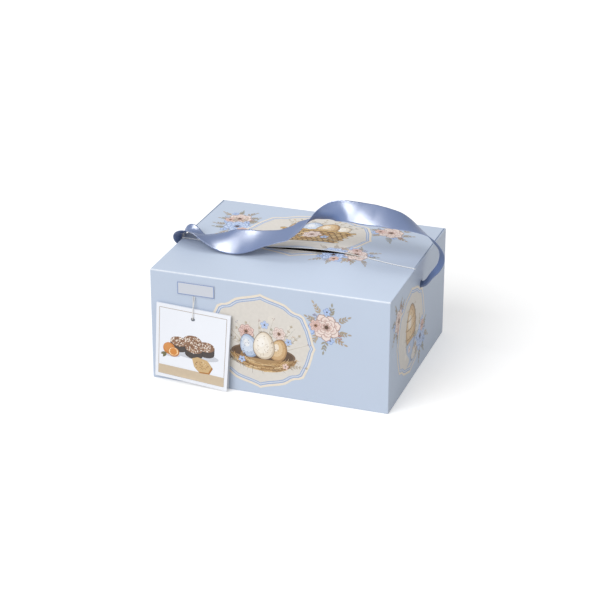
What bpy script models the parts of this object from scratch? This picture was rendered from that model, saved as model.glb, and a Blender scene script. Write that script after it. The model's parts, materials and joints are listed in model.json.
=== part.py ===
"""A shut gift carton for an Easter bread, with a satin ribbon handle and a hang tag.

Metres, +Z up. The origin is the middle of the base, and the front faces -Y.
The carton is shut and can't be seen into, so it is one solid with the relief of its folds.
"""

import bpy
import bmesh
from math import cos, exp, pi, radians, sin, sqrt
from mathutils import Matrix, Vector

MM = 0.001

CARTON_WIDTH = 285 * MM
CARTON_DEPTH = 231 * MM
CARTON_HEIGHT = 137 * MM
BOARD = 0.6 * MM
FOLD_RADIUS = 1.6 * MM
SIDE_FOLD_RADIUS = 0.8 * MM

# The lid is two flaps: a strip hinged on the front crease, and a flap hinged on the back one
# whose free edge lies over the strip. Both spring up a little towards that free edge.
FRONT_STRIP_DEPTH = 97 * MM
LID_END_LIFT = 1.2 * MM
LID_RISE = 8.6 * MM
LID_RISE_CENTRE = 40 * MM
LID_RISE_REACH = (125 * MM, 112 * MM)
LIP_GAP = 0.3 * MM
MOUTH_GAP = 3.4 * MM
MOUTH_CENTRE = 15 * MM
MOUTH_SPREAD = 40 * MM
MOUTH_DEPTH = 8 * MM

# Along the back flap the side panels stand a little outside the lid, which leaves a slot.
SLOT_WIDTH_AT_BACK = 1.6 * MM
SLOT_WIDTH_AT_LIP = 0.5 * MM
SLOT_DEPTH = 1.6 * MM
SIDE_PANEL = 0.9 * MM

HOLE_RADIUS = 5.2 * MM
HOLE_DEPTH = 8 * MM
HOLE_Y = 9 * MM
HOLE_Z = 108 * MM

RIBBON_WIDTH = 39 * MM
RIBBON_THICKNESS = 0.9 * MM
GATHERED_WIDTH = 7.6 * MM
GATHERED_THICKNESS = 3.2 * MM
STEPS_PER_STATION = 4

LABEL_SIZE = (45 * MM, 0.6 * MM, 15.4 * MM)
LABEL_CENTRE_X = -86.7 * MM
LABEL_CENTRE_Z = 119 * MM

TAG_WIDTH = 91 * MM
TAG_HEIGHT = 93 * MM
TAG_CARD = 0.5 * MM
TAG_TURN = radians(2.7)
TAG_HOLE_RADIUS = 2.4 * MM
TAG_HOLE_BELOW_TOP = 13 * MM
TAG_HOLE_AT = (-89.4 * MM, 83.2 * MM)
TAG_FOLD_WIDTH = 1.7 * MM
TAG_OPENING_TOP = 2.2 * MM
TAG_OPENING_BOTTOM = 7.4 * MM
TAG_OFF_FACE = 1.9 * MM

STRING_DIAMETER = 1.1 * MM

CLEARANCE = 0.35 * MM


def clear_scene():
    for thing in list(bpy.data.objects):
        bpy.data.objects.remove(thing, do_unlink=True)


def finish_material(name, colour, roughness):
    material = bpy.data.materials.new(name)
    material.use_nodes = True
    shader = material.node_tree.nodes["Principled BSDF"]
    shader.inputs["Base Color"].default_value = (*colour, 1)
    shader.inputs["Roughness"].default_value = roughness
    shader.inputs["Metallic"].default_value = 0
    material.diffuse_color = (*colour, 1)
    return material


def add_object(name, mesh, material=None):
    thing = bpy.data.objects.new(name, mesh)
    bpy.context.scene.collection.objects.link(thing)
    if material:
        mesh.materials.append(material)
    return thing


def lofted(name, rings):
    """A closed body through rings of equally many points, with a flat cap at each end."""
    count = len(rings[0])
    work = bmesh.new()
    rows = [[work.verts.new(point) for point in ring] for ring in rings]
    for near, far in zip(rows, rows[1:]):
        for k in range(count):
            after = (k + 1) % count
            work.faces.new((near[k], near[after], far[after], far[k]))
    work.faces.new(rows[0][::-1])
    work.faces.new(rows[-1])
    bmesh.ops.recalc_face_normals(work, faces=work.faces)
    mesh = bpy.data.meshes.new(name)
    work.to_mesh(mesh)
    work.free()
    return mesh


def shade(mesh, angle=radians(35)):
    mesh.shade_smooth()
    mesh.set_sharp_from_angle(angle=angle)


def cut(body, cutters):
    """Takes the cutters out of the body, and leaves its mesh with the cuts made."""
    for cutter in cutters:
        cutter.hide_render = True
        cutter.display_type = "WIRE"
        step = body.modifiers.new("cut", "BOOLEAN")
        step.operation = "DIFFERENCE"
        step.solver = "EXACT"
        step.object = cutter
    bpy.context.view_layer.update()
    seen = body.evaluated_get(bpy.context.evaluated_depsgraph_get())
    mesh = bpy.data.meshes.new_from_object(seen)
    body.modifiers.clear()
    body.data = mesh
    for cutter in cutters:
        bpy.data.objects.remove(cutter, do_unlink=True)


def drill(name, radius, length, place, axis, sides=28):
    """A cylinder to cut with, centred on place along axis."""
    work = bmesh.new()
    turn = Vector((0, 0, 1)).rotation_difference(Vector(axis)).to_matrix().to_4x4()
    bmesh.ops.create_cone(
        work,
        cap_ends=True,
        segments=sides,
        radius1=radius,
        radius2=radius,
        depth=length,
        matrix=Matrix.Translation(place) @ turn,
    )
    mesh = bpy.data.meshes.new(name)
    work.to_mesh(mesh)
    work.free()
    return add_object(name, mesh)


def flap_lift(x):
    """How far the back flap's free edge stands above the box's height."""
    reach = LID_RISE_REACH[0 if x < LID_RISE_CENTRE else 1]
    away = min(1, abs(x - LID_RISE_CENTRE) / reach)
    return LID_END_LIFT + LID_RISE * (0.5 + 0.5 * cos(pi * away))


def mouth_gap(x):
    """The gap between the front strip and the underside of the flap's free edge."""
    return LIP_GAP + MOUTH_GAP * exp(-(abs(x - MOUTH_CENTRE) / MOUTH_SPREAD) ** 3)


def arc(centre_y, centre_z, radius, start, steps=4):
    """A quarter turn of points, from the start angle clockwise."""
    angles = [start - pi / 2 * k / steps for k in range(steps + 1)]
    return [(centre_y + radius * cos(a), centre_z + radius * sin(a)) for a in angles]


def carton_section(x):
    """The carton's outline seen from the side, front to back over the top, then the base."""
    front = -CARTON_DEPTH / 2
    back = CARTON_DEPTH / 2
    lip = front + FRONT_STRIP_DEPTH
    end = CARTON_WIDTH / 2 - abs(x)
    depth = MOUTH_DEPTH if end > 3 * MM else 0.15 * MM
    high = CARTON_HEIGHT + flap_lift(x)
    under = high - BOARD
    low = under - mouth_gap(x)
    points = [(front, SIDE_FOLD_RADIUS)]
    points += arc(front + FOLD_RADIUS, CARTON_HEIGHT - FOLD_RADIUS, FOLD_RADIUS, pi)
    start = front + FOLD_RADIUS
    for k in range(1, 8):
        t = k / 8
        rise = (low - CARTON_HEIGHT) * (t + 0.25 * t * (1 - t))
        points.append((start + (lip - start) * t, CARTON_HEIGHT + rise))
    points += [(lip, low), (lip + depth, low), (lip + depth, under), (lip, under), (lip, high)]
    stop = back - FOLD_RADIUS
    for k in range(1, 8):
        t = k / 8
        rise = (high - CARTON_HEIGHT) * (1 - t) * (1 + 0.25 * t)
        points.append((lip + (stop - lip) * t, CARTON_HEIGHT + rise))
    points += arc(stop, CARTON_HEIGHT - FOLD_RADIUS, FOLD_RADIUS, pi / 2)
    points += [(back, SIDE_FOLD_RADIUS), (back - SIDE_FOLD_RADIUS, 0), (front + SIDE_FOLD_RADIUS, 0)]
    return points


def carton_stations():
    """Where the outline is drawn along the width: close together at the side folds."""
    half = CARTON_WIDTH / 2
    ends = [0, 0.12, 0.35, 0.8, 2.4, 3.2, 8]
    left = [-half + step * MM for step in ends]
    inner = half - ends[-1] * MM
    middle = [-inner + 2 * inner * k / 34 for k in range(1, 34)]
    return left + middle + [-x for x in reversed(left)]


def round_off(end):
    """How far the side fold's rounding pulls the outline in, at this distance from the end."""
    if end >= SIDE_FOLD_RADIUS:
        return 0
    return SIDE_FOLD_RADIUS - sqrt(SIDE_FOLD_RADIUS**2 - (SIDE_FOLD_RADIUS - end) ** 2)


def slot_cutter(side):
    """A thin wedge that parts the back flap from the side panel's top edge."""
    outer = CARTON_WIDTH / 2 - SIDE_PANEL
    lip = -CARTON_DEPTH / 2 + FRONT_STRIP_DEPTH
    back = CARTON_DEPTH / 2 - FOLD_RADIUS
    plan = [
        (outer, lip),
        (outer, back),
        (outer - SLOT_WIDTH_AT_BACK, back),
        (outer - SLOT_WIDTH_AT_LIP, lip),
    ]
    floor = CARTON_HEIGHT - SLOT_DEPTH
    top = CARTON_HEIGHT + 5 * MM
    rings = [[Vector((side * x, y, z)) for x, y in plan] for z in (floor, top)]
    return add_object("slot_cutter", lofted("slot_cutter", rings))


def build_carton():
    rings = []
    for x in carton_stations():
        inset = round_off(CARTON_WIDTH / 2 - abs(x))
        narrow = 1 - 2 * inset / CARTON_DEPTH
        lower = 1 - 2 * inset / CARTON_HEIGHT
        rings.append([Vector((x, y * narrow, inset + z * lower)) for y, z in carton_section(x)])
    mesh = lofted("carton", rings)
    board = finish_material("pale_blue_board", (0.55, 0.64, 0.79), 0.55)
    carton = add_object("carton", mesh, board)
    cutters = [slot_cutter(side) for side in (-1, 1)]
    for side in (-1, 1):
        middle = side * (CARTON_WIDTH / 2 - HOLE_DEPTH / 2 + 2 * MM)
        place = Vector((middle, HOLE_Y, HOLE_Z))
        cutters.append(drill("hole_cutter", HOLE_RADIUS, HOLE_DEPTH + 4 * MM, place, (1, 0, 0)))
    cut(carton, cutters)
    shade(carton.data, radians(25))
    return carton


def ribbon_stations():
    """The ribbon's route from hole to hole, in millimetres and degrees, chosen by hand.

    Each row is the middle's x, y and z, how far the width line rolls about the route from
    straight back, and how open the ribbon is, from 0, gathered, to 1. It rolls half a turn.
    """
    return [
        (-136, 9, 108, 0, 0),
        (-142, 9, 108, 0, 0),
        (-146.5, 8, 110.5, 0, 0.12),
        (-148.5, 5, 117.5, 3, 0.27),
        (-148.5, 1, 126, 8, 0.42),
        (-146.5, -6, 135, 11, 0.62),
        (-140, -14.5, 144, -12, 0.86),
        (-124, -24, 148.5, -26, 1),
        (-108, -27, 147.5, -11, 1),
        (-94, -29, 145.9, 4, 1),
        (-79, -31, 147.4, 23, 1),
        (-64.5, -32.5, 149.4, 27, 1),
        (-50, -33, 152, 22, 1),
        (-35, -31, 155.2, 10, 1),
        (-20, -28.5, 158, 5, 1),
        (-6.5, -25, 164, 8, 1),
        (5.5, -21.5, 172.5, 8, 0.88),
        (17.5, -16.5, 181, -12, 0.6),
        (31, -12, 188, -65, 0.37),
        (45, -13, 194, -118, 0.52),
        (60, -14.5, 196.5, -148, 0.71),
        (75.5, -12.5, 195, -159, 0.89),
        (90.5, -9.5, 193, -165, 1),
        (105.5, -6, 190.5, -170, 1),
        (120, -1.5, 186.5, -177, 1),
        (133.5, 3, 180.5, -191, 1),
        (146, 7.5, 172, -205, 1),
        (156.5, 10.5, 161, -210, 1),
        (164.5, 12.5, 147, -208, 0.78),
        (162.3, 12.5, 132, -203, 0.38),
        (153.5, 11, 119, -203, 0.12),
        (147.5, 9.5, 110.5, -204, 0.02),
        (142, 9, 108, -204, 0),
        (136, 9, 108, -204, 0),
    ]


def ribbon_rows():
    """Each station as one vector: the middle, the roll and the openness."""
    rows = []
    for x, y, z, roll, opened in ribbon_stations():
        rows.append(Vector((x * MM, y * MM, z * MM, radians(roll), opened)))
    return rows


def smooth_rows(rows, steps):
    """A centripetal Catmull-Rom curve through the rows, spaced by the first three values."""
    first = rows[0] * 2 - rows[1]
    last = rows[-1] * 2 - rows[-2]
    points = [first, *rows, last]
    knots = [0]
    for here, after in zip(points, points[1:]):
        knots.append(knots[-1] + sqrt((after.xyz - here.xyz).length))
    curve = []
    for i in range(1, len(points) - 2):
        t0, t1, t2, t3 = knots[i - 1 : i + 3]
        p0, p1, p2, p3 = points[i - 1 : i + 3]
        for k in range(steps):
            t = t1 + (t2 - t1) * k / steps
            a1 = p0.lerp(p1, (t - t0) / (t1 - t0))
            a2 = p1.lerp(p2, (t - t1) / (t2 - t1))
            a3 = p2.lerp(p3, (t - t2) / (t3 - t2))
            b1 = a1.lerp(a2, (t - t0) / (t2 - t0))
            b2 = a2.lerp(a3, (t - t1) / (t3 - t1))
            curve.append(b1.lerp(b2, (t - t1) / (t2 - t1)))
    curve.append(rows[-1])
    return curve


def strip_ring(middle, across, facing, width, thickness):
    """The ribbon's section: a flat bar with eased edges."""
    half = width / 2
    ease = min(thickness / 2, half) * 0.6
    thin = thickness / 2
    outline = [
        (-half, -thin + ease * 0.8),
        (-half + ease, -thin),
        (0, -thin),
        (half - ease, -thin),
        (half, -thin + ease * 0.8),
        (half, thin - ease * 0.8),
        (half - ease, thin),
        (0, thin),
        (-half + ease, thin),
        (-half, thin - ease * 0.8),
    ]
    return [middle + across * u + facing * v for u, v in outline]


def build_ribbon():
    rows = smooth_rows(ribbon_rows(), STEPS_PER_STATION)
    back = Vector((0, 1, 0))
    rings = []
    for i, row in enumerate(rows):
        before = rows[max(0, i - 1)].xyz
        after = rows[min(len(rows) - 1, i + 1)].xyz
        along = (after - before).normalized()
        level = (back - along * along.dot(back)).normalized()
        across = level * cos(row[3]) + along.cross(level) * sin(row[3])
        facing = along.cross(across)
        opened = max(0, min(1, row[4]))
        width = GATHERED_WIDTH + (RIBBON_WIDTH - GATHERED_WIDTH) * opened
        thickness = GATHERED_THICKNESS + (RIBBON_THICKNESS - GATHERED_THICKNESS) * opened
        rings.append(strip_ring(row.xyz, across, facing, width, thickness))
    mesh = lofted("ribbon", rings)
    shade(mesh, radians(50))
    satin = finish_material("slate_blue_satin", (0.17, 0.24, 0.43), 0.35)
    return add_object("ribbon", mesh, satin)


def build_label():
    width, thick, height = LABEL_SIZE
    work = bmesh.new()
    bmesh.ops.create_cube(work, size=1, matrix=Matrix.Diagonal((width, thick, height, 1)))
    mesh = bpy.data.meshes.new("label")
    work.to_mesh(mesh)
    work.free()
    label = add_object("label", mesh, finish_material("label_paper", (0.66, 0.69, 0.75), 0.6))
    face = -CARTON_DEPTH / 2 - CLEARANCE
    label.location = (LABEL_CENTRE_X, face - thick / 2, LABEL_CENTRE_Z)
    return label


def tag_place():
    """From the tag's own frame, centred on its hole with the back leaf at y = 0, to the carton's."""
    x, z = TAG_HOLE_AT
    back = -CARTON_DEPTH / 2 - TAG_OFF_FACE
    return Matrix.Translation((x, back, z)) @ Matrix.Rotation(TAG_TURN, 4, "Y")


def tag_section(opening, steps=10):
    """The folded card seen from above: the back leaf on y = 0, the front leaf swung open."""
    left = -TAG_WIDTH / 2
    fold = TAG_FOLD_WIDTH
    outer = []
    inner = []
    for k in range(steps + 1):
        t = k / steps
        x = left + fold / 2 + (TAG_WIDTH - fold / 2) * t
        swing = fold + (opening - fold) * t**1.3
        outer.append((x, -swing))
        inner.append((x, -swing + TAG_CARD))
    turn = [pi * (0.5 + k / 6) for k in range(1, 6)]
    bend = [(left + fold / 2 + fold / 2 * cos(a), -fold / 2 + fold / 2 * sin(a)) for a in turn]
    tight = fold / 2 - TAG_CARD
    inside = [(left + fold / 2 + tight * cos(a), -fold / 2 + tight * sin(a)) for a in turn]
    back_edge = [(TAG_WIDTH / 2, -TAG_CARD), (TAG_WIDTH / 2, 0)]
    back_inner = [(left + fold / 2, -TAG_CARD)]
    back_outer = [(left + fold / 2, 0)]
    return outer + inner[::-1] + inside[::-1] + back_inner + back_edge + back_outer + bend


def build_tag():
    top = TAG_HOLE_BELOW_TOP
    place = tag_place()
    rings = []
    for k in range(9):
        t = k / 8
        opening = TAG_OPENING_TOP + (TAG_OPENING_BOTTOM - TAG_OPENING_TOP) * t
        z = top - TAG_HEIGHT * t
        rings.append([place @ Vector((x, y, z)) for x, y in tag_section(opening)])
    tag = add_object("tag", lofted("tag", rings), finish_material("tag_card", (0.85, 0.87, 0.93), 0.5))
    middle = place @ Vector((0, 0, 0))
    cut(tag, [drill("punch", TAG_HOLE_RADIUS, 30 * MM, middle, (0, 1, 0))])
    shade(tag.data)
    return tag


def string_route():
    """Down from the label, in at the front of the tag's hole, and up again behind the tag.

    Millimetres, chosen by hand, with y counted from the carton's front face.
    """
    return [
        (-88.1, -0.95, 110.6),
        (-88.2, -1.9, 106.5),
        (-88.4, -3.6, 101.5),
        (-88.7, -5.0, 96.8),
        (-89.0, -5.4, 91.5),
        (-89.2, -5.3, 86.2),
        (-89.3, -4.65, 83.85),
        (-89.4, -3.1, 83.2),
        (-89.5, -1.6, 83.8),
        (-89.7, -0.95, 86),
        (-90.0, -0.93, 91),
        (-90.2, -0.93, 97),
        (-90.1, -0.93, 104),
        (-89.9, -0.95, 110.6),
    ]


def build_string():
    path = bpy.data.curves.new("tag_string", "CURVE")
    path.dimensions = "3D"
    path.bevel_depth = STRING_DIAMETER / 2
    path.bevel_resolution = 2
    path.use_fill_caps = True
    face = Vector((0, -CARTON_DEPTH / 2, 0))
    rows = smooth_rows([face + Vector(point) * MM for point in string_route()], 3)
    spline = path.splines.new("POLY")
    spline.points.add(len(rows) - 1)
    for point, row in zip(spline.points, rows):
        point.co = (*row, 1)
    return add_object("tag_string", path, finish_material("string", (0.75, 0.77, 0.82), 0.8))


clear_scene()
build_carton()
build_ribbon()
build_label()
build_tag()
build_string()
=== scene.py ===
"""A shut gift carton for an Easter bread: printed board, a satin ribbon handle, a label and a hang tag."""

import json
import random
from math import cos, hypot, pi, radians, sin, sqrt, tau

import bmesh
import bpy
from mathutils import Matrix, Vector
from mathutils.bvhtree import BVHTree
from mathutils.geometry import delaunay_2d_cdt

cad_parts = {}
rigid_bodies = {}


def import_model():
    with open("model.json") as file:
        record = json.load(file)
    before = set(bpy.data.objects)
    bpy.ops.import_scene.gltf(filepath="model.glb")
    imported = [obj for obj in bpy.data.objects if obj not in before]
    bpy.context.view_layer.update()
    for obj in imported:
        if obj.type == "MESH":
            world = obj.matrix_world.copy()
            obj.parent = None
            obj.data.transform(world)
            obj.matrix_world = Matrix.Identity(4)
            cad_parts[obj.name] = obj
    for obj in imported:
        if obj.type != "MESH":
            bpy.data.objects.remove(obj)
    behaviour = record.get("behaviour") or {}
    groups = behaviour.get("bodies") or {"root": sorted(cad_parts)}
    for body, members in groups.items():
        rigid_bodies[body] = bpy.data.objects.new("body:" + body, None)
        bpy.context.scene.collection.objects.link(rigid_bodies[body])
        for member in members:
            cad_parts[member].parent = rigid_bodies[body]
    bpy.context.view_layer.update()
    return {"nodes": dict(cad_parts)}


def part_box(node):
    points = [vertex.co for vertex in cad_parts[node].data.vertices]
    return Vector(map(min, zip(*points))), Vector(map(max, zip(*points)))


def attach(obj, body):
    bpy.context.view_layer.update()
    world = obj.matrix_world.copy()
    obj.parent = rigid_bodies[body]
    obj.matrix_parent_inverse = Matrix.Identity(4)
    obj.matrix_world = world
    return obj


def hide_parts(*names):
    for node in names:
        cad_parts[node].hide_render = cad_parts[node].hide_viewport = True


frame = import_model()


# The camera stands where the photographer stood: a little to the right of the carton's
# front, looking down at it through a long lens.
MM = 0.001
CAMERA_AZIMUTH = radians(19.058)
CAMERA_ELEVATION = radians(24.147)
CAMERA_ROLL = radians(0.116)
CAMERA_DISTANCE = 2260.668 * MM
CAMERA_ASIDE = (-1.965 * MM, 1.737 * MM)
CARTON_HEIGHT = 137 * MM

back = Vector((
    sin(CAMERA_AZIMUTH) * cos(CAMERA_ELEVATION),
    -cos(CAMERA_AZIMUTH) * cos(CAMERA_ELEVATION),
    sin(CAMERA_ELEVATION),
))
level_right = Vector((cos(CAMERA_AZIMUTH), sin(CAMERA_AZIMUTH), 0))
level_up = back.cross(level_right)
right = level_right * cos(CAMERA_ROLL) + level_up * sin(CAMERA_ROLL)
up = level_up * cos(CAMERA_ROLL) - level_right * sin(CAMERA_ROLL)
lens = bpy.data.cameras.new("camera")
lens.lens = 115.03
lens.sensor_width = 36
lens.clip_start = 0.05
lens.clip_end = 100
camera = bpy.data.objects.new("camera", lens)
camera.matrix_world = Matrix.LocRotScale(
    back * CAMERA_DISTANCE + right * CAMERA_ASIDE[0] + up * CAMERA_ASIDE[1]
    + Vector((0, 0, CARTON_HEIGHT / 2)),
    Matrix((right, up, back)).transposed(),
    None,
)
bpy.context.scene.collection.objects.link(camera)
bpy.context.scene.camera = camera
bpy.context.scene.view_settings.view_transform = "Standard"


# The studio: a white floor that is seen and a duller one that throws light back, a wide key
# light from the front left, two panels that light the pack alone, one panel that only glints
# on the ribbon, and pale light all round.
FLOOR_REACH = 9
FLOOR_GLOW = 0.3
BOUNCE_GLOW = 0.05
SEEN_WHITE = 0.92
BOUNCE_WHITE = 0.6
WORLD_LIGHT = 0.53
KEY_STRENGTH = 2.0
KEY_SOFTNESS = radians(50)
KEY_FROM = Vector((-0.34, -0.7, 0.55))


def add_object(name, data):
    thing = bpy.data.objects.new(name, data)
    bpy.context.scene.collection.objects.link(thing)
    return thing


def finish(name, **sockets):
    """A material, its node tree and its shader, with these plain values on the shader."""
    material = bpy.data.materials.new(name)
    material.use_nodes = True
    shader = material.node_tree.nodes["Principled BSDF"]
    for key, value in sockets.items():
        shader.inputs[key.replace("_", " ")].default_value = value
    return material, material.node_tree, shader


key = bpy.data.lights.new("key_light", "SUN")
key.energy = KEY_STRENGTH
key.angle = KEY_SOFTNESS
key_lamp = add_object("key_light", key)
key_lamp.rotation_euler = (-KEY_FROM).to_track_quat("-Z", "Y").to_euler()
key_lamp.visible_glossy = False

lit_by_panels = bpy.data.collections.new("lit_by_panels")
shines_in_panel = bpy.data.collections.new("shines_in_panel")


def panel(name, place, size, power, glossy):
    """A flat light aimed at the lid: a glossy one only glints on the ribbon."""
    light = bpy.data.lights.new(name, "AREA")
    light.shape = "RECTANGLE"
    light.size, light.size_y = size
    light.energy = power
    lamp = add_object(name, light)
    lamp.location = place
    aim = Vector((0, 0, CARTON_HEIGHT)) - Vector(place)
    lamp.rotation_euler = aim.to_track_quat("-Z", "Y").to_euler()
    lamp.light_linking.receiver_collection = shines_in_panel if glossy else lit_by_panels
    lamp.visible_glossy = glossy
    lamp.visible_diffuse = not glossy


panel("overhead_panel", place=(-0.48, 0.42, 1.48), size=(0.75, 0.6), power=4.3, glossy=False)
panel("front_panel", place=(0.2, -0.25, 0.5), size=(0.15, 0.15), power=0.35, glossy=False)
panel("gloss_panel", place=(-0.34, 0.42, 1.48), size=(0.85, 0.85), power=36, glossy=True)

world = bpy.data.worlds.new("studio")
world.use_nodes = True
world.node_tree.nodes["Background"].inputs["Color"].default_value = (1, 1, 1, 1)
world.node_tree.nodes["Background"].inputs["Strength"].default_value = WORLD_LIGHT
bpy.context.scene.world = world


def stage_floor(name, height, glow, white):
    """A wide sheet of paper with a faint glow of its own."""
    mesh = bpy.data.meshes.new(name)
    corners = ((-1, -1), (1, -1), (1, 1), (-1, 1))
    mesh.from_pydata([(x * FLOOR_REACH, y * FLOOR_REACH, height) for x, y in corners], [], [(0, 1, 2, 3)])
    paper, _, shader = finish(name + "_paper", Roughness=0.9, Specular_IOR_Level=0.1)
    shader.inputs["Base Color"].default_value = (white, white, white, 1)
    shader.inputs["Emission Color"].default_value = (1, 1, 1, 1)
    shader.inputs["Emission Strength"].default_value = glow
    mesh.materials.append(paper)
    floor = add_object(name, mesh)
    return floor


seen_floor = stage_floor("seen_floor", 0, FLOOR_GLOW, SEEN_WHITE)
seen_floor.visible_diffuse = False
seen_floor.visible_shadow = False
lighting_floor = stage_floor("lighting_floor", -1 * MM, BOUNCE_GLOW, BOUNCE_WHITE)
lighting_floor.visible_camera = False


# The carton is folded from white board with a pale blue print and a soft matt coating.
# Folds have cracked to the white fibre, and the flap's cut edge shows the board's white core.
# The faces inside the slit under the flap are painted dark brown: painted shade in the recess.
CARTON_WIDTH = 285 * MM
CARTON_DEPTH = 231 * MM
LIP_Y = -CARTON_DEPTH / 2 + 97 * MM
FOLD_WHITENESS = 0.55
LIP_WHITENESS = 0.85
carton = frame["nodes"]["carton"]


def add_node(tree, kind, **settings):
    """A shader node. Settings name its properties, or its sockets with spaces as underscores."""
    made = tree.nodes.new("ShaderNode" + kind)
    for key, value in settings.items():
        if hasattr(made, key):
            setattr(made, key, value)
            continue
        socket = made.inputs[key.replace("_", " ")]
        if isinstance(value, bpy.types.NodeSocket):
            tree.links.new(value, socket)
        else:
            socket.default_value = value
    return made


def paint(code, alpha=1):
    """A screen colour such as C5D1E4 as Blender's linear values."""
    parts = [int(code[k : k + 2], 16) / 255 for k in (0, 2, 4)]
    linear = [c / 12.92 if c <= 0.04045 else ((c + 0.055) / 1.055) ** 2.4 for c in parts]
    return (*linear, alpha)


def make_group(name, inputs, outputs):
    """An empty node group with these sockets, and its two end nodes."""
    group = bpy.data.node_groups.new(name, "ShaderNodeTree")
    for label, kind, value in inputs:
        made = group.interface.new_socket(label, in_out="INPUT", socket_type="NodeSocket" + kind)
        if value is not None:
            made.default_value = value
    for label, kind in outputs:
        group.interface.new_socket(label, in_out="OUTPUT", socket_type="NodeSocket" + kind)
    return group, group.nodes.new("NodeGroupInput"), group.nodes.new("NodeGroupOutput")


def math_of(tree, operation, a, b=None, clamp=False):
    """The output of a Math node; a and b are numbers or sockets."""
    made = tree.nodes.new("ShaderNodeMath")
    made.operation = operation
    made.use_clamp = clamp
    for value, socket in zip((a, b), made.inputs):
        if isinstance(value, bpy.types.NodeSocket):
            tree.links.new(value, socket)
        elif value is not None:
            socket.default_value = value
    return made.outputs[0]


def mix_of(tree, amount, a, b, blend="MIX"):
    """The colour output of a Mix node; amount, a and b are values or sockets."""
    made = tree.nodes.new("ShaderNodeMix")
    made.data_type = "RGBA"
    made.blend_type = blend
    for value, socket in ((amount, made.inputs[0]), (a, made.inputs[6]), (b, made.inputs[7])):
        if isinstance(value, bpy.types.NodeSocket):
            tree.links.new(value, socket)
        else:
            socket.default_value = value
    return made.outputs[2]


def near_line(tree, along, place, width):
    """1 where a coordinate is at place, falling to 0 at width to either side."""
    off = math_of(tree, "ABSOLUTE", math_of(tree, "SUBTRACT", along, place))
    return math_of(tree, "SUBTRACT", 1, math_of(tree, "DIVIDE", off, width), clamp=True)


coated_board, sheet_in, sheet_out = make_group(
    "coated_board",
    [
        ("Colour", "Color", (0.5, 0.6, 0.75, 1)),
        ("Mottle", "Float", 0.05),
        ("Fibre", "Float", 0.25),
    ],
    [("Colour", "Color"), ("Roughness", "Float"), ("Normal", "Vector")],
)
where = add_node(coated_board, "TexCoord").outputs["Object"]
clouds = add_node(coated_board, "TexNoise", Vector=where, Scale=14, Detail=3).outputs["Fac"]
tone = math_of(coated_board, "SUBTRACT", clouds, 0.5)
tone = math_of(coated_board, "MULTIPLY", tone, sheet_in.outputs["Mottle"])
tone = math_of(coated_board, "ADD", tone, 1)
level = add_node(coated_board, "HueSaturation", Color=sheet_in.outputs["Colour"], Value=tone)
coated_board.links.new(level.outputs["Color"], sheet_out.inputs["Colour"])
grain = add_node(coated_board, "TexNoise", Vector=where, Scale=1400, Detail=2).outputs["Fac"]
ripple = add_node(coated_board, "TexNoise", Vector=where, Scale=60, Detail=2).outputs["Fac"]
relief = math_of(coated_board, "ADD", grain, math_of(coated_board, "MULTIPLY", ripple, 2))
bump = add_node(
    coated_board, "Bump", Height=relief, Strength=sheet_in.outputs["Fibre"], Distance=0.00006
)
coated_board.links.new(bump.outputs["Normal"], sheet_out.inputs["Normal"])
satin_spots = math_of(coated_board, "MULTIPLY_ADD", clouds, 0.12)
satin_spots.node.inputs[2].default_value = 0.42
coated_board.links.new(satin_spots, sheet_out.inputs["Roughness"])


def coat(tree, shader, colour, mottle=0.05, fibre=0.25):
    """Puts the coated board's colour, roughness and relief on a material's shader."""
    board = tree.nodes.new("ShaderNodeGroup")
    board.node_tree = coated_board
    board.inputs["Mottle"].default_value = mottle
    board.inputs["Fibre"].default_value = fibre
    if isinstance(colour, bpy.types.NodeSocket):
        tree.links.new(colour, board.inputs["Colour"])
    else:
        board.inputs["Colour"].default_value = colour
    tree.links.new(board.outputs["Colour"], shader.inputs["Base Color"])
    tree.links.new(board.outputs["Roughness"], shader.inputs["Roughness"])
    tree.links.new(board.outputs["Normal"], shader.inputs["Normal"])
    return board


board_blue, blue_tree, blue_shader = finish("pale_blue_board", Specular_IOR_Level=0.42)
board_spot = add_node(blue_tree, "TexCoord").outputs["Object"]
_, side_y, side_z = add_node(blue_tree, "SeparateXYZ", Vector=board_spot).outputs[:3]
fray = add_node(blue_tree, "TexNoise", Vector=board_spot, Scale=420, Detail=3)
rough_edge = math_of(blue_tree, "MULTIPLY_ADD", fray.outputs["Fac"], 1.6)
rough_edge.node.inputs[2].default_value = 0.15
folds = None
for fold_y in (-CARTON_DEPTH / 2 + 0.4 * MM, CARTON_DEPTH / 2 - 0.4 * MM):
    fold = math_of(
        blue_tree,
        "MULTIPLY",
        near_line(blue_tree, side_y, fold_y, 1.5 * MM),
        near_line(blue_tree, side_z, CARTON_HEIGHT - 0.4 * MM, 1.7 * MM),
    )
    folds = fold if folds is None else math_of(blue_tree, "ADD", folds, fold)
folds = math_of(blue_tree, "MULTIPLY", folds, rough_edge, clamp=True)
folds = math_of(blue_tree, "MULTIPLY", folds, FOLD_WHITENESS)
above = math_of(blue_tree, "GREATER_THAN", side_z, CARTON_HEIGHT - 1 * MM)
lip_band = near_line(blue_tree, side_y, LIP_Y, 1.1 * MM)
lip_band = math_of(blue_tree, "MULTIPLY", lip_band, 2.2, clamp=True)
lip_band = math_of(blue_tree, "MULTIPLY", lip_band, above)
behind_lip = math_of(blue_tree, "GREATER_THAN", side_y, LIP_Y - 0.05 * MM)
lip_band = math_of(blue_tree, "MULTIPLY", lip_band, behind_lip)
lip_band = math_of(blue_tree, "MULTIPLY", lip_band, LIP_WHITENESS)
white = math_of(blue_tree, "MAXIMUM", folds, lip_band)
coat(blue_tree, blue_shader, mix_of(blue_tree, white, paint("BCC8DA"), paint("F4F4F2")))
carton.data.materials.clear()
carton.data.materials.append(board_blue)

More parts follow.
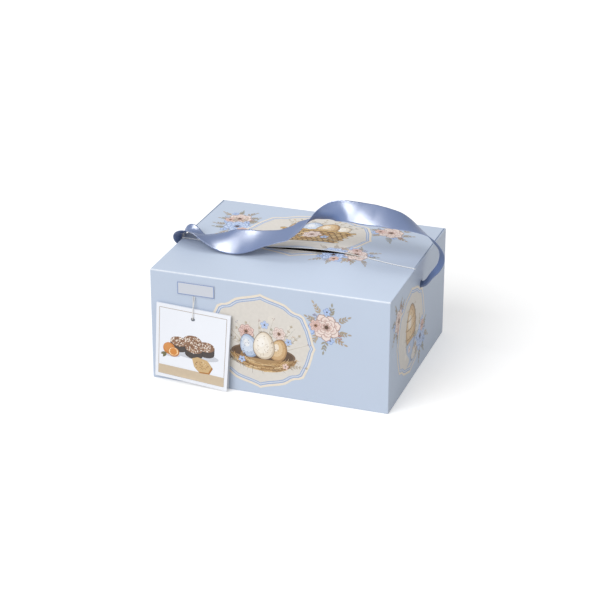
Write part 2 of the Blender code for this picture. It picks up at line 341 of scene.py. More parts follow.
MOUTH_DEPTH = 8 * MM
# Painted shade: a dark brown material for the faces inside the slit under the lid flap.
mouth_shade_board, _, mouth_shade_shader = finish("painted_mouth_shade", Roughness=0.9, Specular_IOR_Level=0.1)
mouth_shade_shader.inputs["Base Color"].default_value = paint("2B211B")
carton.data.materials.append(mouth_shade_board)
# The faces deep inside the slit, behind the flap's cut edge, take the painted shade.
for face in carton.data.polygons:
    corners = [carton.data.vertices[k].co for k in face.vertices]
    nearest, furthest = min(c.y for c in corners), max(c.y for c in corners)
    inside = nearest > LIP_Y - 0.1 * MM and LIP_Y + 1 * MM < furthest < LIP_Y + MOUTH_DEPTH + 0.1 * MM
    if inside and min(c.z for c in corners) > CARTON_HEIGHT - 5 * MM:
        face.material_index = 1


# The pictures are inks on the board's coating: a cream cartouche with a ruled border on every
# side and on the lid, holding eggs in a nest, a cup or a basket, and loose sprays of blossom.
INK = 0.1 * MM
INK_GRID = 8
SPILL_ALLOWED = 5
SMALLEST_SHAPE = 0.005
PAST_THE_BOARD = 400
CREAM = "D6D1CA"
BORDER_CREAM = "E4DACB"
RULE_BLUE = "8EA5CB"
chance = random.Random(11)

printed_ink, ink_tree, ink_shader = finish("printed_ink", Specular_IOR_Level=0.42)
ink_colour = add_node(ink_tree, "VertexColor", layer_name="ink").outputs["Color"]
wash_spot = add_node(ink_tree, "TexCoord").outputs["Object"]
wash = add_node(ink_tree, "TexNoise", Vector=wash_spot, Scale=260, Detail=4).outputs["Fac"]
wash_value = math_of(ink_tree, "MULTIPLY_ADD", wash, 0.16)
wash_value.node.inputs[2].default_value = 0.92
washed = add_node(ink_tree, "HueSaturation", Color=ink_colour, Value=wash_value).outputs["Color"]
coat(ink_tree, ink_shader, washed, mottle=0.04, fibre=0.2)


def ring_area(ring):
    """The area inside a ring of points, negative where it runs clockwise."""
    return sum(a[0] * b[1] - b[0] * a[1] for a, b in zip(ring, ring[1:] + ring[:1])) / 2


class Picture:
    """Flat shapes in millimetres, each painted over the ones before it."""

    def __init__(self):
        self.shapes = []

    def fill(self, outline, colour, cover=1):
        area = ring_area(outline)
        if abs(area) > SMALLEST_SHAPE:
            self.shapes.append((outline if area > 0 else outline[::-1], paint(colour), cover))

    def line(self, points, width, colour, cover=1, tip=None):
        """A stroke of this width, narrowing to tip at its end."""
        tip = width if tip is None else tip
        left, right_side = [], []
        for k, (x, y) in enumerate(points):
            ahead = points[min(k + 1, len(points) - 1)]
            behind = points[max(k - 1, 0)]
            dx, dy = ahead[0] - behind[0], ahead[1] - behind[1]
            size = hypot(dx, dy) or 1
            half = (width + (tip - width) * k / (len(points) - 1)) / 2
            left.append((x - dy / size * half, y + dx / size * half))
            right_side.append((x + dy / size * half, y - dx / size * half))
        self.fill(left + right_side[::-1], colour, cover)


def oval(x, y, wide, high, turn=0, count=16):
    """An ellipse's points; wide and high are its half sizes."""
    c, s = cos(turn), sin(turn)
    ring = [(wide * cos(tau * k / count), high * sin(tau * k / count)) for k in range(count)]
    return [(x + u * c - v * s, y + u * s + v * c) for u, v in ring]


def blade(x, y, length, width, angle, blunt=0.0, curl=0.0, count=5):
    """A leaf or petal from its foot at x, y: pointed, or rounded at the tip when blunt is 1."""
    left, right_side = [], []
    for k in range(count + 1):
        t = k / count
        bulge = sin(pi * t ** (1 + 0.5 * blunt)) ** (1 - 0.45 * blunt) if 0 < t < 1 else 0.0
        bend = curl * t * t * length
        for side, edge in ((1, left), (-1, right_side)):
            u = t * length
            v = bend + side * width / 2 * bulge
            edge.append((x + u * cos(angle) - v * sin(angle), y + u * sin(angle) + v * cos(angle)))
    return left + right_side[-2:0:-1]


def curve_points(x, y, length, angle, curl, count=6):
    """Points along a curving stem."""
    points = []
    for k in range(count + 1):
        t = k / count
        u, v = t * length, curl * t * t * length
        points.append((x + u * cos(angle) - v * sin(angle), y + u * sin(angle) + v * cos(angle)))
    return points


def sprig(picture, x, y, length, angle, curl=0.15, pairs=4, leaf=4.5, colour="A89C8B"):
    """A stem with leaves in pairs, in two tones of one ink."""
    stem = curve_points(x, y, length, angle, curl)
    picture.line(stem, 0.5, "8C7B69", 0.9, tip=0.25)
    for k in range(pairs):
        t = (k + 1) / (pairs + 0.4)
        place = stem[min(len(stem) - 1, round(t * (len(stem) - 1)))]
        size = leaf * (1.1 - 0.5 * t)
        for side in (-1, 1):
            turn = angle + curl * 2 * t + side * chance.uniform(0.6, 0.95)
            picture.fill(blade(*place, size, size * 0.42, turn, curl=-side * 0.1), colour, 0.85)
            picture.line(curve_points(*place, size * 0.8, turn, 0, 1), 0.28, "7E6D5C", 0.7, 0.12)
    picture.fill(blade(*stem[-1], leaf * 0.8, leaf * 0.35, angle + curl * 2), colour, 0.85)


def blossom(picture, x, y, size, tones, turn=0.0):
    """An open garden blossom: three rings of petals with pale rims, and a dark heart."""
    light, middle, deep, rim = tones
    for ring, (count, reach, fat) in enumerate(((7, 1.0, 0.72), (6, 0.74, 0.6), (5, 0.5, 0.46))):
        for k in range(count):
            angle = turn + ring * 0.5 + tau * k / count + chance.uniform(-0.08, 0.08)
            length = size * reach * chance.uniform(0.92, 1.06)
            foot = (x + cos(angle) * size * 0.06, y + sin(angle) * size * 0.06)
            picture.fill(blade(*foot, length, size * fat, angle, blunt=1, count=6), rim, 0.95)
            picture.fill(blade(*foot, length * 0.95, size * fat * 0.88, angle, blunt=1, count=6), light, 0.95)
            picture.fill(blade(*foot, length * 0.72, size * fat * 0.62, angle, blunt=1, count=5), middle, 0.6)
            picture.fill(blade(*foot, length * 0.45, size * fat * 0.4, angle, blunt=0.6, count=4), deep, 0.55)
            for side in (-0.22, 0.0, 0.22):
                vein = curve_points(*foot, length * 0.78, angle + side, -side * 0.25, 2)
                picture.line(vein, 0.3, deep, 0.45, 0.1)
    picture.fill(oval(x, y, size * 0.15, size * 0.15), "5B4638", 0.95)
    for k in range(12):
        angle = tau * k / 12 + chance.uniform(-0.15, 0.15)
        reach = size * chance.uniform(0.2, 0.3)
        tip = (x + cos(angle) * reach, y + sin(angle) * reach)
        picture.line([(x, y), tip], 0.25, "5B4638", 0.8)
        picture.fill(oval(*tip, 0.4, 0.4, count=7), "8A6A3F")


def small_flower(picture, x, y, size, turn=0.0, light="B9CBEA", deep="6A86BD"):
    """A five-petalled blue flower with a dark eye."""
    for k in range(5):
        angle = turn + tau * k / 5
        picture.fill(blade(x, y, size, size * 0.72, angle, blunt=1), deep, 0.6)
        picture.fill(blade(x, y, size * 0.9, size * 0.58, angle, blunt=1), light, 0.9)
        picture.line(curve_points(x, y, size * 0.62, angle, 0, 3), 0.4, deep, 0.8, 0.15)
    picture.fill(oval(x, y, size * 0.2, size * 0.2, count=10), "33405F")
    picture.fill(oval(x + size * 0.05, y + size * 0.05, size * 0.07, size * 0.07, count=8), "D9C28A")


def berries(picture, x, y, size, count, colour="A9807C"):
    """A loose handful of berries within this distance of x, y."""
    for _ in range(count):
        angle, reach = chance.uniform(0, tau), size * sqrt(chance.random())
        place = (x + cos(angle) * reach, y + sin(angle) * reach)
        picture.fill(oval(*place, size * 0.26, size * 0.26, count=10), "7F5F58", 0.8)
        picture.fill(oval(*place, size * 0.2, size * 0.2, count=10), colour)
        glint = (place[0] - size * 0.06, place[1] + size * 0.07)
        picture.fill(oval(*glint, size * 0.07, size * 0.07, count=7), "E0CBC4")


BLUSH = ("E7D9D2", "C9A79E", "95706A", "A98A83")
ROSE = ("E2C8C0", "BD8D84", "8A5A54", "9A7069")
CORNFLOWER = ("C6D4EC", "8DA5D0", "56709F", "6F88BA")


def spray(picture, x, y, scale, turn, bloom=BLUSH):
    """A loose spray: leaves all round, a large blossom in these tones, small flowers, berries."""
    def at(distance, angle):
        a = turn + angle
        return x + distance * scale * cos(a), y + distance * scale * sin(a)

    for angle, length, colour in (
        (0.3, 27, "A99D8D"), (0.95, 24, "9D9A8C"), (1.75, 30, "B7A996"), (2.5, 22, "A99D8D"),
        (3.6, 24, "B7A996"), (4.4, 29, "9D9A8C"), (5.1, 25, "B09F8B"), (5.7, 23, "A99D8D"),
    ):
        sprig(picture, *at(6, angle), length * scale * 0.72, turn + angle, chance.uniform(-0.3, 0.3),
              4, 6.2 * scale, colour)
    for angle, distance, size in ((1.3, 17, 4.6), (3.15, 16, 6.0), (4.75, 15, 4.4)):
        small_flower(picture, *at(distance, angle), size * scale, turn + angle)
    berries(picture, *at(15.5, 5.35), 4.0 * scale, 9)
    berries(picture, *at(16.5, 2.2), 3.2 * scale, 7, "8FA0C4")
    blossom(picture, x, y, 14.5 * scale, bloom, turn)
    blossom(picture, *at(11.5, 2.85), 6.5 * scale, ROSE, turn + 1)


def cartouche_outline(x, y, wide, high, inset=0.0):
    """A frame that comes to a point at each end and steps in at its four shoulders."""
    quarter = [
        (0, 1), (0.045, 0.975), (0.17, 0.932), (0.35, 0.882), (0.45, 0.845), (0.52, 0.79),
        (0.575, 0.738), (0.64, 0.705), (0.72, 0.69), (0.79, 0.645), (0.84, 0.52), (0.895, 0.385),
        (0.94, 0.21), (0.965, 0.09), (1, 0),
    ]
    corners = [(1, 1), (1, -1), (-1, -1), (-1, 1)]
    points = []
    for k, (sx, sy) in enumerate(corners):
        row = quarter if k % 2 == 0 else quarter[::-1]
        points += [(sx * u, sy * v) for u, v in row[:-1]]
    inner_wide, inner_high = wide - inset, high - inset * 1.06
    return [(x + u * inner_wide, y + v * inner_high) for u, v in points]


def cartouche(picture, x, y, wide, high):
    """The cream field inside its two blue rules and its outer band, with faint blots of wash."""
    picture.fill(cartouche_outline(x, y, wide, high), BORDER_CREAM)
    picture.fill(cartouche_outline(x, y, wide, high, 3.0), RULE_BLUE)
    picture.fill(cartouche_outline(x, y, wide, high, 4.1), "CCD2DC")
    picture.fill(cartouche_outline(x, y, wide, high, 5.6), RULE_BLUE)
    picture.fill(cartouche_outline(x, y, wide, high, 6.5), CREAM)
    for _ in range(16):
        angle, reach = chance.uniform(0, tau), sqrt(chance.random()) * 0.62
        place = (x + cos(angle) * reach * wide, y + sin(angle) * reach * high)
        blot = oval(*place, chance.uniform(3, 8), chance.uniform(2, 5), chance.uniform(0, pi), 10)
        picture.fill(blot, chance.choice(("E6E1DA", "D6D1C9", "E2DCD2")), 0.35)


def egg_outline(x, y, size, turn=0.0, shrink=1.0, count=26):
    """An egg standing on its blunt end: size is its half height."""
    points = []
    for k in range(count):
        a = tau * k / count
        v = sin(a)
        u = cos(a) * 0.74 * (1 - 0.16 * v)
        u, v = u * size * shrink, v * size * shrink
        points.append((x + u * cos(turn) - v * sin(turn), y + u * sin(turn) + v * cos(turn)))
    return points


def egg(picture, x, y, size, turn, tones):
    """A speckled egg, shaded on the right and lit on the left."""
    shade, base, light, fleck = tones
    picture.fill(egg_outline(x, y, size, turn, 1.03), "5A4636", 0.85)
    picture.fill(egg_outline(x, y, size, turn, 0.99), shade)
    picture.fill(egg_outline(x - size * 0.05, y + size * 0.03, size, turn, 0.9), base, 0.9)
    picture.fill(egg_outline(x - size * 0.13, y + size * 0.1, size, turn, 0.68), light, 0.6)
    picture.fill(egg_outline(x - size * 0.2, y + size * 0.22, size, turn, 0.34), "F6F3EE", 0.55)
    for _ in range(34):
        a, r = chance.uniform(0, tau), sqrt(chance.random()) * 0.9
        u, v = cos(a) * r * 0.7 * size, sin(a) * r * size
        place = (x + u * cos(turn) - v * sin(turn), y + u * sin(turn) + v * cos(turn))
        fleck_size = chance.uniform(0.015, 0.045) * size
        picture.fill(oval(*place, fleck_size, fleck_size * chance.uniform(0.5, 1), a, 7), fleck, 0.75)


IVORY = ("C9B9A4", "E6DCCC", "F3EEE5", "8C715A")
SKY = ("93A3BC", "B9C6DA", "DCE4EF", "5C6E92")
TAN = ("A9865F", "CBAA7F", "E3CBA5", "7B5836")


def twigs(picture, x, y, wide, high, count, tones):
    """Woven twigs that make the near wall of a nest."""
    for _ in range(count):
        start = chance.uniform(pi * 0.95, pi * 1.75)
        span = chance.uniform(0.35, 0.9)
        level = chance.uniform(0.55, 1.04)
        points = []
        for k in range(7):
            a = start + span * k / 6
            wobble = chance.uniform(-0.02, 0.02)
            points.append((x + cos(a) * wide * (level + wobble), y + sin(a) * high * (level + wobble)))
        picture.line(points, chance.uniform(0.7, 1.5), chance.choice(tones), 0.9, 0.3)


def nest_scene(picture, x, y, scale):
    """Eggs in a twig nest with grasses and blossoms behind them."""
    s = scale
    for k in range(15):
        angle = radians(26 + k * 9.2) + chance.uniform(-0.05, 0.05)
        length = chance.uniform(34, 52) * s
        foot = (x + cos(angle) * 20 * s, y - 2 * s)
        stem = curve_points(*foot, length, angle, chance.uniform(-0.15, 0.15))
        picture.line(stem, 0.8 * s, chance.choice(("A79C86", "8F9687", "BBA98C")), 0.8, 0.2)
        if k % 2:
            sprig(picture, *foot, length * 0.94, angle, 0.1, 6, 5.4 * s, chance.choice(("A3A08E", "B5A892")))
        else:
            berries(picture, *stem[-1], 2.1 * s, 5, chance.choice(("A9807C", "8FA0C4", "C4A06A")))
    blossom(picture, x - 24 * s, y + 24 * s, 11 * s, ROSE, 0.4)
    blossom(picture, x + 22 * s, y + 27 * s, 9.5 * s, BLUSH, 1.1)
    small_flower(picture, x + 2 * s, y + 37 * s, 6.5 * s, 0.3)
    small_flower(picture, x + 35 * s, y + 17 * s, 5.5 * s, 0.8)
    picture.fill(oval(x, y - 5 * s, 45 * s, 13 * s, count=36), "6E5540", 0.95)
    picture.fill(oval(x, y - 5 * s, 42 * s, 11 * s, count=36), "4C3A2C", 0.6)
    egg(picture, x - 20 * s, y + 4 * s, 17 * s, 0.28, SKY)
    egg(picture, x + 21 * s, y + 3 * s, 16.5 * s, -0.32, TAN)
    egg(picture, x + 1 * s, y + 7 * s, 20 * s, -0.04, IVORY)
    bowl = [(x + 47 * s * cos(a), y - 6 * s + 24 * s * sin(a)) for a in [pi + pi * k / 26 for k in range(27)]]
    rim = [(x + 47 * s * cos(a), y - 6 * s - 7 * s * sin(a)) for a in [pi * k / 26 for k in range(27)]]
    picture.fill(bowl + rim[1:-1], "A5865F")
    twigs(picture, x, y - 6 * s, 47 * s, 24 * s, 120, ("C9A877", "8A6844", "DCC39A", "6B4E34", "B08D62"))
    for k in range(26):
        a = pi + pi * k / 25
        foot = (x + 45 * s * cos(a), y - 6 * s + (10 + 9 * abs(sin(a))) * s * sin(a))
        picture.line(curve_points(*foot, chance.uniform(5, 12) * s, a + chance.uniform(-0.8, 0.8), 0.2, 4),
                     0.8 * s, chance.choice(("8A6844", "C9A877", "5E4630")), 0.85, 0.15)
    sprig(picture, x - 34 * s, y - 22 * s, 24 * s, 2.6, 0.3, 5, 5 * s, "A3A08E")
    sprig(picture, x + 34 * s, y - 22 * s, 24 * s, 0.5, -0.3, 5, 5 * s, "B5A892")
    small_flower(picture, x - 30 * s, y - 17 * s, 5.5 * s, 0.9)
    small_flower(picture, x + 31 * s, y - 19 * s, 5 * s, 0.2, "E7CFC4", "B58578")


def basket_scene(picture, x, y, scale):
    """A wicker basket of eggs with a bow of leaves."""
    s = scale
    for k in range(9):
        angle = radians(40 + k * 12.5)
        sprig(picture, x + cos(angle) * 18 * s, y + 4 * s, 34 * s, angle, chance.uniform(-0.2, 0.2), 4, 6 * s,
              chance.choice(("A3A08E", "B5A892", "C2A574")))
    for dx, dy, size, turn, tones in (
        (-22, 10, 14, 0.5, TAN), (22, 11, 14, -0.5, IVORY), (-8, 15, 15, 0.15, SKY), (9, 14, 15.5, -0.2, TAN),
    ):
        egg(picture, x + dx * s, y + dy * s, size * s, turn, tones)
    wall = [(x + u * s, y + v * s) for u, v in ((-38, 6), (38, 6), (29, -29), (-29, -29))]
    picture.fill(wall, "7A5A38")
    for row in range(8):
        v0 = y + 6 * s - row * 4.3 * s
        half = (38 - 9 * row / 8) * s
        count = 11
        for k in range(count):
            u = x - half + 2 * half * (k + (0.5 if row % 2 else 0)) / count
            if u + half * 0.09 < x + half:
                tone = chance.choice(("D8B67F", "C79F68", "E0C390"))
                picture.fill(oval(u + half * 0.09, v0 - 2.1 * s, half * 0.1, 1.9 * s, 0, 8), "4A3524", 0.9)
                picture.fill(oval(u + half * 0.085, v0 - 1.9 * s, half * 0.088, 1.5 * s, 0, 8), tone)
    rim_line = [(x - 41 * s + 82 * s * k / 24, y + (6 + 1.2 * sin(k * 1.9)) * s) for k in range(25)]
    picture.line(rim_line, 4.6 * s, "4A3524")
    picture.line(rim_line, 2.8 * s, "D2AE74")
    blossom(picture, x - 2 * s, y - 8 * s, 10 * s, BLUSH, 0.2)
    small_flower(picture, x + 13 * s, y - 13 * s, 5 * s, 0.4)
    sprig(picture, x - 8 * s, y - 12 * s, 20 * s, 3.6, 0.2, 4, 5 * s, "A3A08E")
    sprig(picture, x + 14 * s, y - 16 * s, 17 * s, -0.5, 0.2, 4, 5 * s, "B5A892")


def egg_cup_scene(picture, x, y, scale):
    """One tall egg on a footed cup, wreathed with leaves."""
    s = scale
    for side in (-1, 1):
        for k in range(4):
            sprig(picture, x + side * 8 * s, y - (26 - k * 11) * s, 27 * s, pi / 2 - side * (0.95 - k * 0.12),
                  side * 0.3, 5, 6 * s, chance.choice(("A3A08E", "B5A892", "C2A574")))
    egg(picture, x, y + 10 * s, 30 * s, 0.0, TAN)
    for row in range(3):
        v = y + (22 - row * 13) * s
        band = [(x - 20 * s + 40 * s * k / 14, v - 3 * s * sin(pi * k / 14)) for k in range(15)]
        picture.line(band, 1.3 * s, "8A6844", 0.8)
    cup = [(x + u * s, y + v * s) for u, v in (
        (-21, -12), (21, -12), (18, -24), (9, -32), (4, -36), (5, -41), (15, -45), (-15, -45), (-5, -41),
        (-4, -36), (-9, -32), (-18, -24),
    )]
    picture.fill(cup, "8C9AB5")
    picture.fill([(x + (px - x) * 0.8 - 2 * s, py - 1 * s) for px, py in cup], "BFCBDF", 0.7)
    small_flower(picture, x - 6 * s, y - 22 * s, 6 * s, 0.2, "F0E3DA", "B58578")


def on_front(u, v):
    """The point of the front face at u, v in mm, as the next three do for their faces."""
    return Vector((u * MM, -CARTON_DEPTH / 2 - INK, v * MM))


def on_back(u, v):
    return Vector((-u * MM, CARTON_DEPTH / 2 + INK, v * MM))


def on_right(u, v):
    return Vector((CARTON_WIDTH / 2 + INK, u * MM, v * MM))


def on_left(u, v):
    return Vector((-CARTON_WIDTH / 2 - INK, -u * MM, v * MM))


carton_surface = BVHTree.FromObject(carton, bpy.context.evaluated_depsgraph_get())


def on_lid(u, v):
    """The point of the lid straight below, so that the ink follows its curve."""
    hit, normal, _, _ = carton_surface.ray_cast(Vector((u * MM, v * MM, 0.4)), Vector((0, 0, -1)))
    return hit + normal * INK


def print_picture(name, picture, place, grid=None, keep=(None, None)):
    """Cuts the overlapping shapes into one sheet of ink, laid on the board by place.

    A grid of points lets the sheet follow a curve. Keep holds the lowest and highest v, or None.
    A shape whose cut leaks far past its own outline is left out.
    """
    coords, faces = [], []
    for outline, _, _ in picture.shapes:
        faces.append(list(range(len(coords), len(coords) + len(outline))))
        coords += [Vector(point) for point in outline]
    if grid:
        lows = [min(p[k] for p in coords) for k in (0, 1)]
        highs = [max(p[k] for p in coords) for k in (0, 1)]
        for i in range(int((highs[0] - lows[0]) / grid) + 1):
            for j in range(int((highs[1] - lows[1]) / grid) + 1):
                coords.append(Vector((lows[0] + grid * (i + 0.5), lows[1] + grid * (j + 0.5))))
    edges = []
    lowest, highest = keep
    for edge in keep:
        if edge is not None:
            edges.append((len(coords), len(coords) + 1))
            coords += [Vector((-PAST_THE_BOARD, edge)), Vector((PAST_THE_BOARD, edge))]
    points, _, pieces, _, _, sources = delaunay_2d_cdt(coords, edges, faces, 1, 1e-5)
    covered = [0] * len(picture.shapes)
    for piece, source in zip(pieces, sources):
        size = ring_area([points[k] for k in piece])
        for k in source:
            if k < len(covered):
                covered[k] += size
    spilt = {
        k for k, (outline, _, _) in enumerate(picture.shapes)
        if covered[k] > 2 * ring_area(outline) + SPILL_ALLOWED
    }
    shown, colours = [], []
    for piece, source in zip(pieces, sources):
        layers = sorted(k for k in source if k < len(picture.shapes) and k not in spilt)
        if not layers:
            continue
        middle = sum(points[k].y for k in piece) / len(piece)
        if (lowest is not None and middle < lowest) or (highest is not None and middle > highest):
            continue
        colour = Vector(picture.shapes[layers[0]][1])
        for k in layers[1:]:
            colour = colour.lerp(Vector(picture.shapes[k][1]), picture.shapes[k][2])
        shown.append(piece)
        colours.append(colour)
    used = sorted({k for piece in shown for k in piece})
    renumbered = {k: n for n, k in enumerate(used)}
    mesh = bpy.data.meshes.new(name)
    inside = 1e-3
    spots = []
    for k in used:
        u, v = points[k]
        if lowest is not None:
            v = max(v, lowest + inside)
        if highest is not None:
            v = min(v, highest - inside)
        spots.append(place(u, v))
    mesh.from_pydata(spots, [], [[renumbered[k] for k in piece] for piece in shown])
    ink = mesh.color_attributes.new("ink", "FLOAT_COLOR", "CORNER")
    ink.data.foreach_set(
        "color", [c for piece, colour in zip(shown, colours) for _ in piece for c in colour]
    )
    mesh.materials.append(printed_ink)
    sheet = add_object(name, mesh)
    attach(sheet, "root")


front_picture = Picture()
spray(front_picture, 69, 96, 1.1, 0.25)
cartouche(front_picture, -9.5, 66.6, 66, 58.9)
nest_scene(front_picture, -6, 56, 0.86)
print_picture("front_print", front_picture, on_front)

back_picture = Picture()
spray(back_picture, 82, 92, 0.95, 0.9)
spray(back_picture, -84, 44, 0.9, 3.6)
cartouche(back_picture, 0, 66.6, 66, 58.9)
nest_scene(back_picture, 0, 56, 0.86)
print_picture("back_print", back_picture, on_back)

for name, place in (("right_side_print", on_right), ("left_side_print", on_left)):
    side_picture = Picture()
    spray(side_picture, -81, 100, 1.0, 1.9)
    cartouche(side_picture, -30, 66, 58, 54)
    egg_cup_scene(side_picture, -30, 64, 0.88)
    spray(side_picture, 10, 42, 1.15, 4.4, CORNFLOWER)
    print_picture(name, side_picture, place)

lid_picture = Picture()
spray(lid_picture, -100, 60, 1.0, 0.9)
spray(lid_picture, -94, 36, 1.1, 2.7, CORNFLOWER)
spray(lid_picture, 87, 72, 1.1, 0.4)
cartouche(lid_picture, -3, 33, 78, 68)
basket_scene(lid_picture, 4, 40, 1.15)
spray(lid_picture, 72, -16, 0.95, 5.3)
spray(lid_picture, 46, -22, 0.95, 2.2, CORNFLOWER)
lip = LIP_Y / MM
print_picture("lid_flap_print", lid_picture, on_lid, INK_GRID, (lip, None))
print_picture("lid_strip_print", lid_picture, on_lid, INK_GRID, (None, lip))


# The ribbon is woven satin, 39 mm wide. It runs from one side hole to the other in a low
# wave and a high arch with half a twist between them, where it curls up on itself, and it
# is gathered into pleats where it goes through the holes.
RIBBON_WIDTH = 39 * MM
GATHERED_WIDTH = 7.6 * MM
RIBBON_THICKNESS = 0.35 * MM
PLEATS = 5
PLEAT_DEPTH = 1.5 * MM
CURL_REACH = 110 * MM
CURL_DEPTH = 0.15
RIBBON_COLUMNS = 24
RIBBON_STEPS = 8


def ribbon_stations():
    """Middle x, y, z in mm; the width line's roll from straight back, in degrees; openness."""
    return [
        (-136, 9, 108, 0, 0),
        (-142, 9, 108, 0, 0),
        (-146.5, 8, 110.5, 0, 0.12),
        (-148.5, 5, 117.5, 3, 0.27),
        (-148.5, 1, 126, 8, 0.42),
        (-146.5, -6, 135, 11, 0.62),
        (-140, -14.5, 144, -12, 0.86),
        (-124, -24, 148.5, -26, 1),
        (-108, -27, 147.5, -11, 1),
        (-94, -29, 146.5, 5, 1),
        (-79, -31, 147.1, 22, 1),
        (-64.5, -32.5, 148.5, 26, 1),
        (-50, -33, 151.5, 20, 1),
        (-35, -31, 155.5, 10, 1),
        (-20, -28.5, 159.2, 5, 1),
        (-6.5, -25, 164, 8, 1),
        (5.5, -21.5, 172.5, 8, 0.88),
        (17.5, -16.5, 181, -12, 0.6),
        (31, -12, 188, -65, 0.37),
        (45, -13, 194, -118, 0.52),
        (60, -14.5, 196.5, -148, 0.71),
        (75.5, -12.5, 195, -159, 0.89),
        (90.5, -9.5, 193, -165, 1),
        (105.5, -6, 190.5, -170, 1),
        (120, -1.5, 186.5, -177, 1),
        (133.5, 3, 180.5, -191, 1),
        (146, 7.5, 172, -205, 1),
        (156.5, 10.5, 161, -210, 1),
        (164.5, 12.5, 147, -208, 0.78),
        (162.3, 12.5, 132, -203, 0.38),
        (153.5, 11, 119, -203, 0.12),
        (147.5, 9.5, 110.5, -204, 0.02),
        (142, 9, 108, -204, 0),
        (136, 9, 108, -204, 0),
    ]


def smooth_rows(rows, steps):
    """A centripetal Catmull-Rom curve through the rows, spaced by the first three values."""
    points = [rows[0] * 2 - rows[1], *rows, rows[-1] * 2 - rows[-2]]
    knots = [0]
    for here, after in zip(points, points[1:]):
        knots.append(knots[-1] + sqrt((after.xyz - here.xyz).length))
    curve = []
    for i in range(1, len(points) - 2):
        t0, t1, t2, t3 = knots[i - 1 : i + 3]
        p0, p1, p2, p3 = points[i - 1 : i + 3]
        for k in range(steps):
            t = t1 + (t2 - t1) * k / steps
            a1 = p0.lerp(p1, (t - t0) / (t1 - t0))
            a2 = p1.lerp(p2, (t - t1) / (t2 - t1))
            a3 = p2.lerp(p3, (t - t2) / (t3 - t2))
            b1 = a1.lerp(a2, (t - t0) / (t2 - t0))
            b2 = a2.lerp(a3, (t - t1) / (t3 - t1))
            curve.append(b1.lerp(b2, (t - t1) / (t2 - t1)))
    curve.append(rows[-1])
    return curve


def ribbon_rows():
    rows = []
    for x, y, z, roll, opened in ribbon_stations():
        rows.append(Vector((x * MM, y * MM, z * MM, radians(roll), opened)))
    return rows


def curl_angle(chord):
    """Half the angle of an arc whose chord is this share of the arc's length."""
    low, high = 1e-3, pi
    for _ in range(24):
        middle = (low + high) / 2
        if sin(middle) > chord * middle:
            low = middle
        else:
            high = middle
    return low


def zigzag(v):
    """Runs up and down between -1 and 1 as v goes from -1 to 1, once for each pleat."""
    phase = (v + 1) / 2 * PLEATS % 1
    return 1 - 4 * abs(phase - 0.5)


rows = smooth_rows(ribbon_rows(), RIBBON_STEPS)
straight_back = Vector((0, 1, 0))
ribbon_points = []
ribbon_length = 0
lengths = []
for i, row in enumerate(rows):
    before = rows[max(0, i - 1)].xyz
    after = rows[min(len(rows) - 1, i + 1)].xyz
    along = (after - before).normalized()
    level = (straight_back - along * along.dot(straight_back)).normalized()
    across = level * cos(row[3]) + along.cross(level) * sin(row[3])
    normal = along.cross(across)
    shut = 1 - max(0, min(1, row[4]))
    width = RIBBON_WIDTH + (GATHERED_WIDTH - RIBBON_WIDTH) * shut
    half = curl_angle(width / RIBBON_WIDTH)
    radius = RIBBON_WIDTH / 2 / half
    if i:
        ribbon_length += (row.xyz - rows[i - 1].xyz).length
    lengths.append(ribbon_length)
    for k in range(RIBBON_COLUMNS + 1):
        v = -1 + 2 * k / RIBBON_COLUMNS
        if abs(row.x) < CURL_REACH:
            depth = radius * ((1 + cos(half)) / 2 - cos(half * v)) * CURL_DEPTH
        else:
            depth = zigzag(v) * PLEAT_DEPTH * shut * shut
        ribbon_points.append(row.xyz + across * v * width / 2 + normal * depth)
count = RIBBON_COLUMNS + 1
quads = [
    (i * count + k, i * count + k + 1, (i + 1) * count + k + 1, (i + 1) * count + k)
    for i in range(len(rows) - 1)
    for k in range(RIBBON_COLUMNS)
]
ribbon_mesh = bpy.data.meshes.new("satin_ribbon")
ribbon_mesh.from_pydata(ribbon_points, [], quads)
ribbon_mesh.shade_smooth()
cloth_map = ribbon_mesh.uv_layers.new(name="UVMap")
for loop in ribbon_mesh.loops:
    i, k = divmod(loop.vertex_index, count)
    cloth_map.data[loop.index].uv = (lengths[i] / RIBBON_WIDTH, k / RIBBON_COLUMNS)
satin_ribbon = add_object("satin_ribbon", ribbon_mesh)
thick = satin_ribbon.modifiers.new("cloth_thickness", "SOLIDIFY")
thick.thickness = RIBBON_THICKNESS
thick.offset = 0

satin, satin_tree, satin_shader = finish("slate_blue_satin", Roughness=0.34, IOR=1.75)
cloth_uv = add_node(satin_tree, "UVMap", uv_map="UVMap").outputs["UV"]
cloth_axes = add_node(satin_tree, "SeparateXYZ", Vector=cloth_uv)
stretched = add_node(satin_tree, "Mapping", Vector=cloth_uv, Scale=(3, 160, 1)).outputs["Vector"]
threads = add_node(satin_tree, "TexNoise", Vector=stretched, Scale=1.0, Detail=3)
selvedge = math_of(satin_tree, "ABSOLUTE", math_of(satin_tree, "SUBTRACT", cloth_axes.outputs[1], 0.5))
selvedge = math_of(satin_tree, "GREATER_THAN", selvedge, 0.478)
thread_tone = mix_of(satin_tree, threads.outputs["Fac"], paint("596B93"), paint("6B7DA4"))
satin_tree.links.new(
    mix_of(satin_tree, math_of(satin_tree, "MULTIPLY", selvedge, 0.35), thread_tone, paint("7F90B6")),
    satin_shader.inputs["Base Color"],
)
glancing = add_node(satin_tree, "LayerWeight", Blend=0.5).outputs["Facing"]
gloss = math_of(satin_tree, "MULTIPLY", math_of(satin_tree, "SUBTRACT", 1, glancing), 0.75)
satin_tree.links.new(gloss, satin_shader.inputs["Specular IOR Level"])
thread_bump = add_node(
    satin_tree, "Bump", Height=threads.outputs["Fac"], Strength=0.12, Distance=0.00005
)
satin_tree.links.new(thread_bump.outputs["Normal"], satin_shader.inputs["Normal"])
ribbon_mesh.materials.append(satin)
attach(satin_ribbon, "root")
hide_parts("ribbon")


